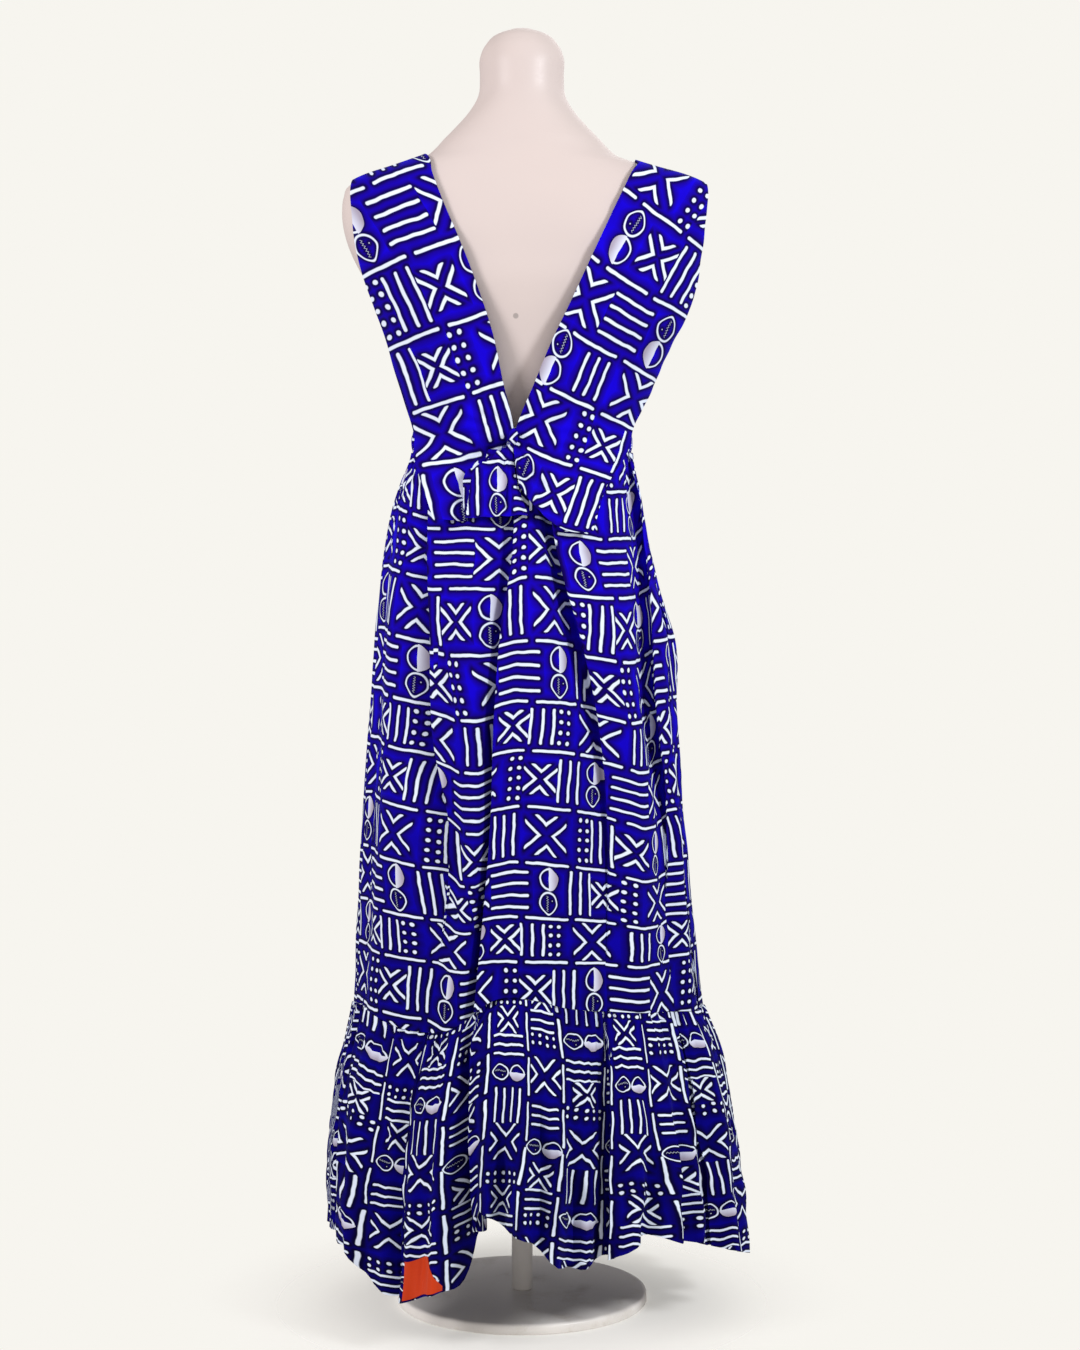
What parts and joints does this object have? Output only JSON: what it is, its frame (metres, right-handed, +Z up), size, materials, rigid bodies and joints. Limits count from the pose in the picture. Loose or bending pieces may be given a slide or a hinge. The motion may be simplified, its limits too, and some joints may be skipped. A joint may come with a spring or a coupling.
{
  "type": "wax print maxi dress on a limbless dress form",
  "caption": "Sleeveless full-length dress with a knotted V back, gathered waist and ruffled hem, worn on a smooth limbless dress form with a pole and a round base.",
  "frame": {"origin": "centre of the stand base's underside, on the floor", "axes": "+Z up; the knotted back of the dress faces -Y and its plain front +Y; +X to the right of someone who looks at the knotted back"},
  "size_m": [0.5106, 0.4837, 1.52],
  "materials": {
    "wax_print": "printed cotton, matte",
    "orange_patch": "smooth satin weave",
    "form_shell": "satin",
    "stand_enamel": "satin"
  },
  "bodies": {
    "root": {"bodice_back_left": "wax_print", "bodice_back_right": "wax_print", "bodice_front": "wax_print", "tie_knot": "wax_print", "waistband": "wax_print", "skirt_back": "wax_print", "skirt_front": "wax_print", "ruffle_back": "wax_print", "ruffle_front": "wax_print", "hem_patch": "orange_patch", "form_torso": "form_shell", "stand_collar": "stand_enamel", "stand_pole": "stand_enamel", "stand_base": "stand_enamel"}
  },
  "joints": []
}
